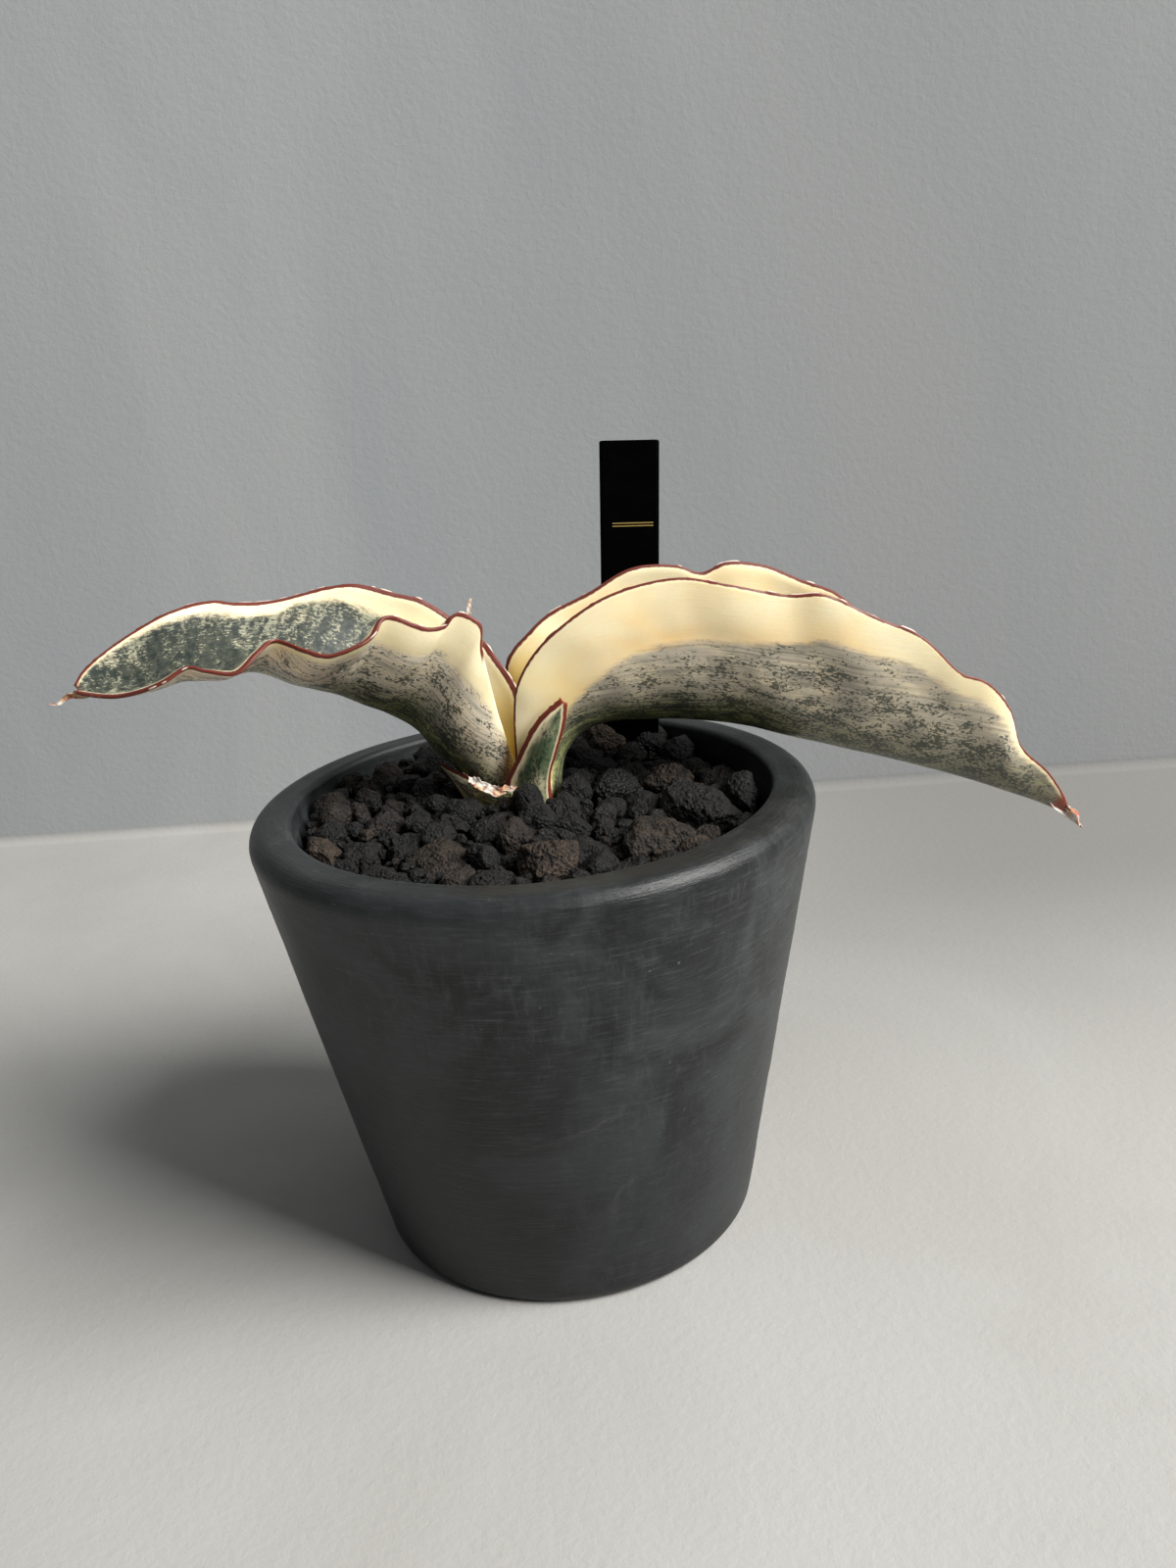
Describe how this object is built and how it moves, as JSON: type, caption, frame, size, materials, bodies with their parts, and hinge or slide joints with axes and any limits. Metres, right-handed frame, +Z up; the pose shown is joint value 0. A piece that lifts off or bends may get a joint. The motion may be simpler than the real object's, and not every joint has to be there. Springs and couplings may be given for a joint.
{
  "type": "potted snake plant",
  "caption": "Variegated snake plant with two arching channelled leaves, rooted in a tapered dark clay pot topped with black lava stones, with a blank plant label.",
  "frame": {"origin": "centre of the pot's flat underside", "axes": "+Z up along the pot's axis; -Y towards the side with the small front leaf; +X towards the longer, green and cream right leaf"},
  "size_m": [0.2092, 0.12, 0.1678],
  "materials": {
    "clay": "matte charcoal unglazed clay with a brushed, scuffed patina",
    "net_plastic": "black moulded mesh",
    "pumice": "pale coarse pumice",
    "potting_mix": "dark gritty mix",
    "rhizome": "pale orange, fibrous",
    "variegated_leaf": "satin, cream with speckled grey-green and a red-brown edge",
    "dry_leaf": "papery, dried",
    "label_plastic": "satin black",
    "lava": "rough, full of small bubbles"
  },
  "bodies": {
    "root": {"pot": "clay", "drainage_net": "net_plastic", "drainage_gravel": "pumice", "potting_mix": "potting_mix", "rhizome_and_roots": "rhizome", "right_leaf": "variegated_leaf", "left_leaf": "variegated_leaf", "front_leaf": "variegated_leaf", "dry_scale": "dry_leaf", "plant_label": "label_plastic", "lava_stone_01": "lava", "lava_stone_02": "lava", "lava_stone_03": "lava", "lava_stone_04": "lava", "lava_stone_05": "lava", "lava_stone_06": "lava", "lava_stone_07": "lava", "lava_stone_08": "lava", "lava_stone_09": "lava", "lava_stone_10": "lava", "lava_stone_11": "lava", "lava_stone_12": "lava", "lava_stone_13": "lava", "lava_stone_14": "lava", "lava_stone_15": "lava", "lava_stone_16": "lava", "lava_stone_17": "lava", "lava_stone_18": "lava", "lava_stone_19": "lava", "lava_stone_20": "lava", "lava_stone_21": "lava", "lava_stone_22": "lava", "lava_stone_23": "lava", "lava_stone_24": "lava", "lava_stone_25": "lava", "lava_stone_26": "lava", "lava_stone_27": "lava", "lava_stone_28": "lava", "lava_stone_29": "lava", "lava_stone_30": "lava", "lava_stone_31": "lava", "lava_stone_32": "lava", "lava_stone_33": "lava", "lava_stone_34": "lava", "lava_stone_35": "lava", "lava_stone_36": "lava", "lava_stone_37": "lava"}
  },
  "joints": []
}
